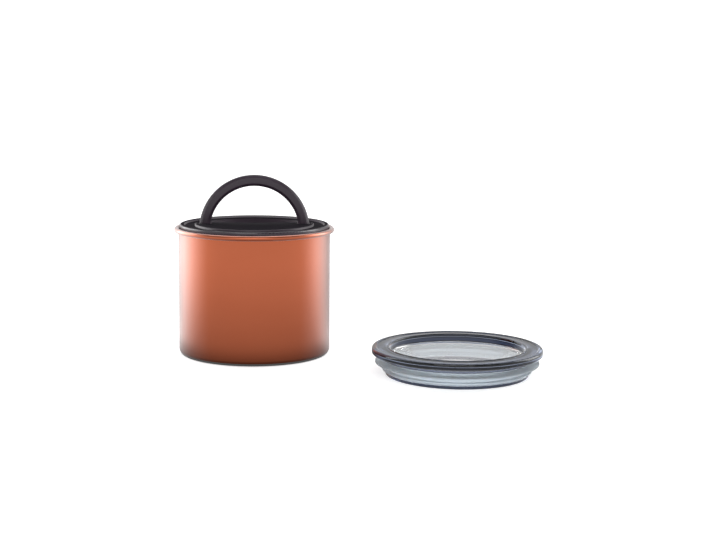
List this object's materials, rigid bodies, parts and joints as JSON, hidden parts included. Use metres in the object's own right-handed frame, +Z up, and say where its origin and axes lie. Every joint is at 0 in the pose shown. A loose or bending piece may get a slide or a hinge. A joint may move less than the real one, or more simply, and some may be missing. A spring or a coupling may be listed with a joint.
{
  "type": "coffee canister with valve",
  "caption": "Coffee canister: a drawn steel pot with a rolled rim, a press-down inner lid whose folding handle works its air valve, and a clear press-fit outer lid lying beside it.",
  "frame": {"origin": "centre of the canister's flat base, on the surface that it stands on", "axes": "+Z up along the canister's axis, +X to the right seen from the front, +Y to the back, where the handle folds"},
  "size_m": [0.2805, 0.2137, 0.1427],
  "materials": {
    "copper_steel": "copper-tinted brushed steel outside, bare steel inside",
    "black_plastic": "fine satin moulding",
    "grey_silicone": "satin",
    "pale_plastic": "natural moulding",
    "spring_steel": "drawn wire",
    "smoke_clear": "clear with a smoke tint, polished",
    "frosted_silicone": "frosted, slightly see-through"
  },
  "bodies": {
    "canister": {"canister_body": "copper_steel"},
    "inner_lid": {"lid_top": "black_plastic", "lid_floor": "black_plastic", "lid_gasket": "grey_silicone", "valve_spring": "spring_steel"},
    "lid_handle": {"handle": "black_plastic", "cam_shaft": "black_plastic"},
    "valve": {"valve_stem": "pale_plastic", "valve_disc": "grey_silicone", "valve_cap": "black_plastic"},
    "cover": {"outer_lid": "smoke_clear", "outer_lid_seal": "frosted_silicone"}
  },
  "joints": [
    {"name": "inner_lid_slide", "type": "slide", "parent": "canister", "child": "inner_lid", "axis": [0, 0, 1], "range_m": [-0.073, 0.05]},
    {"name": "handle_fold", "type": "hinge", "parent": "inner_lid", "child": "lid_handle", "pos_m": [0, 0, 0.0989], "axis": [-1, 0, 0], "range_deg": [0, 90]},
    {"name": "valve_rise", "type": "slide", "parent": "inner_lid", "child": "valve", "axis": [0, 0, 1], "range_m": [0, 0.002], "deforming": ["valve_spring"]},
    {"name": "cover_lift", "type": "slide", "parent": "canister", "child": "cover", "axis": [0, 0, 1], "range_m": [0, 0.15]}
  ],
  "couplings": [
    {"joint": "valve_rise", "follows": "handle_fold", "m_per_rad": 0.00127}
  ]
}
